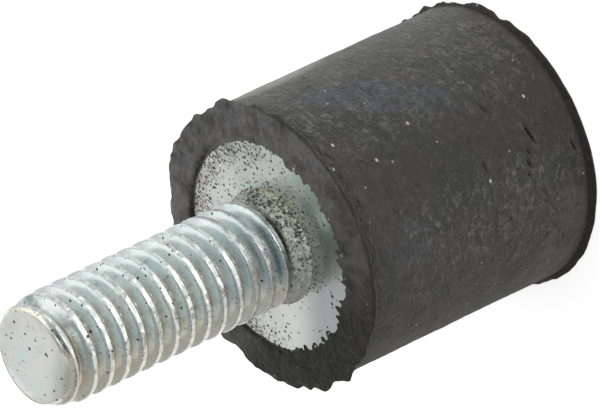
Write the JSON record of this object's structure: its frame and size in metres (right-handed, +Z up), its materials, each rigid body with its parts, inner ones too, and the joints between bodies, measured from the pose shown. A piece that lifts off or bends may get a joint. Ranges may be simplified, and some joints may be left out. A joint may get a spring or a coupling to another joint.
{
  "type": "bobbin vibration mount",
  "caption": "Rubber cylinder bonded round steel end plates, with a threaded stud at one end and a blind threaded insert at the other.",
  "frame": {"origin": "centre of the bottom face, the end with the threaded insert", "axes": "+Z up the mount's axis, out along the stud; the picture looks from -Y and above"},
  "size_m": [0.0102, 0.0104, 0.0204],
  "materials": {
    "rubber": "dull black moulded rubber with pale bloom and scuffs",
    "zinc_plate": "dull zinc plating, speckled with rubber",
    "zinc_stud": "bright clear zinc plating",
    "zinc_insert": "bright clear zinc plating"
  },
  "bodies": {
    "root": {"rubber_body": "rubber", "stud_plate": "zinc_plate", "threaded_stud": "zinc_stud", "insert_plate": "zinc_plate", "threaded_insert": "zinc_insert"}
  },
  "joints": []
}
